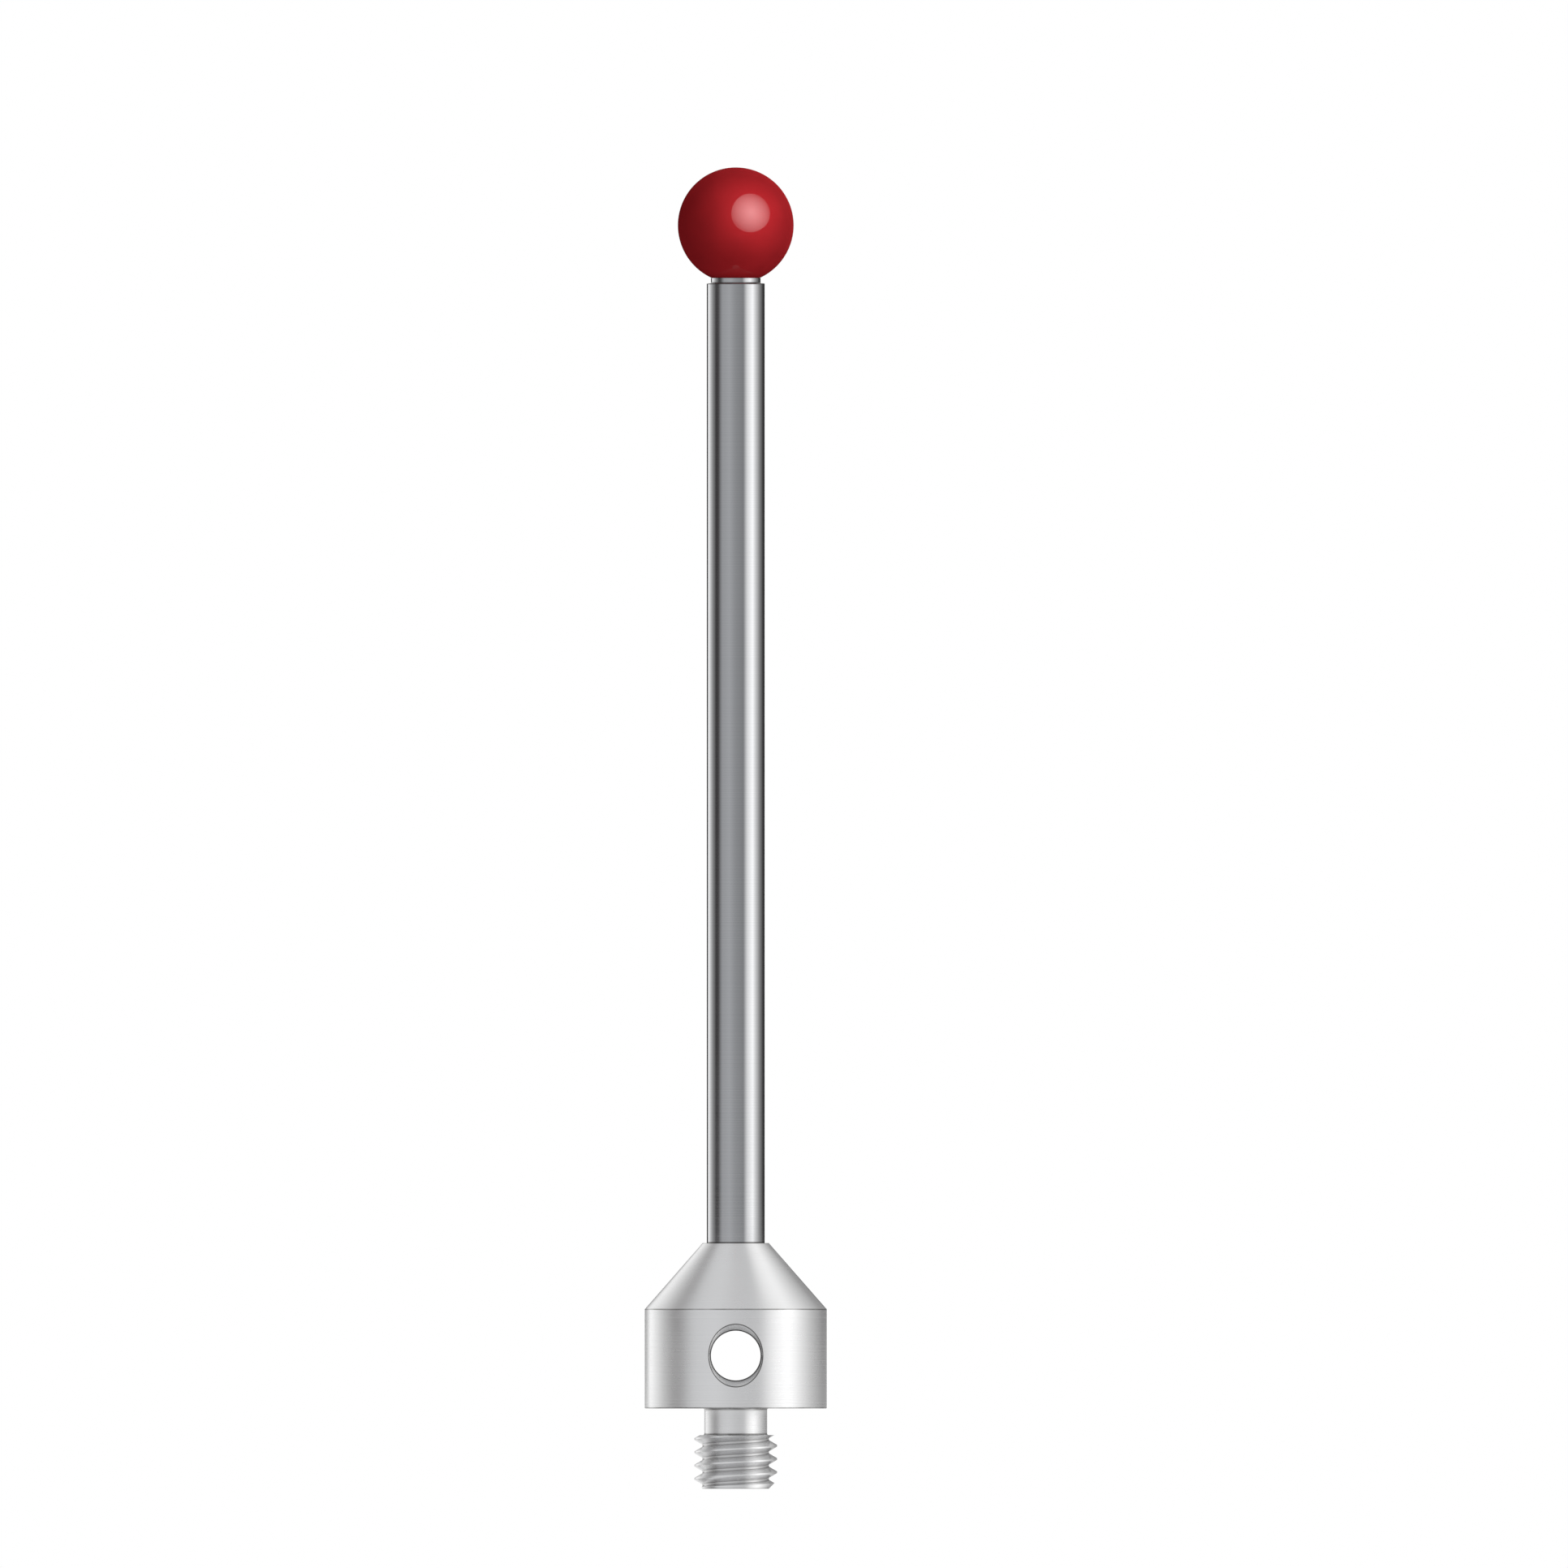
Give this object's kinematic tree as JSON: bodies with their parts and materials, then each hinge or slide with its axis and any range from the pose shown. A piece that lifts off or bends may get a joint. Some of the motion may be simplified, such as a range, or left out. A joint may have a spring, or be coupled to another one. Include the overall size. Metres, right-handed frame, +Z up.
{
  "type": "cmm stylus",
  "caption": "Straight coordinate measuring machine stylus: red ruby ball on a slim ground stem, bonded into a steel holder with a cross hole and a short threaded stud",
  "frame": {"origin": "centre of the holder's seating face, on the stylus axis, where it meets the probe head", "axes": "+Z runs up the stem to the ball, -Z is the way the threaded stud screws in, the cross hole runs along Y, and -Y is the front that the drawing shows"},
  "size_m": [0.011, 0.011, 0.0799],
  "materials": {
    "ruby": "polished",
    "carbide": "polished",
    "turned_steel": "satin"
  },
  "bodies": {
    "root": {"ruby_ball": "ruby", "stem": "carbide", "holder": "turned_steel"}
  },
  "joints": []
}
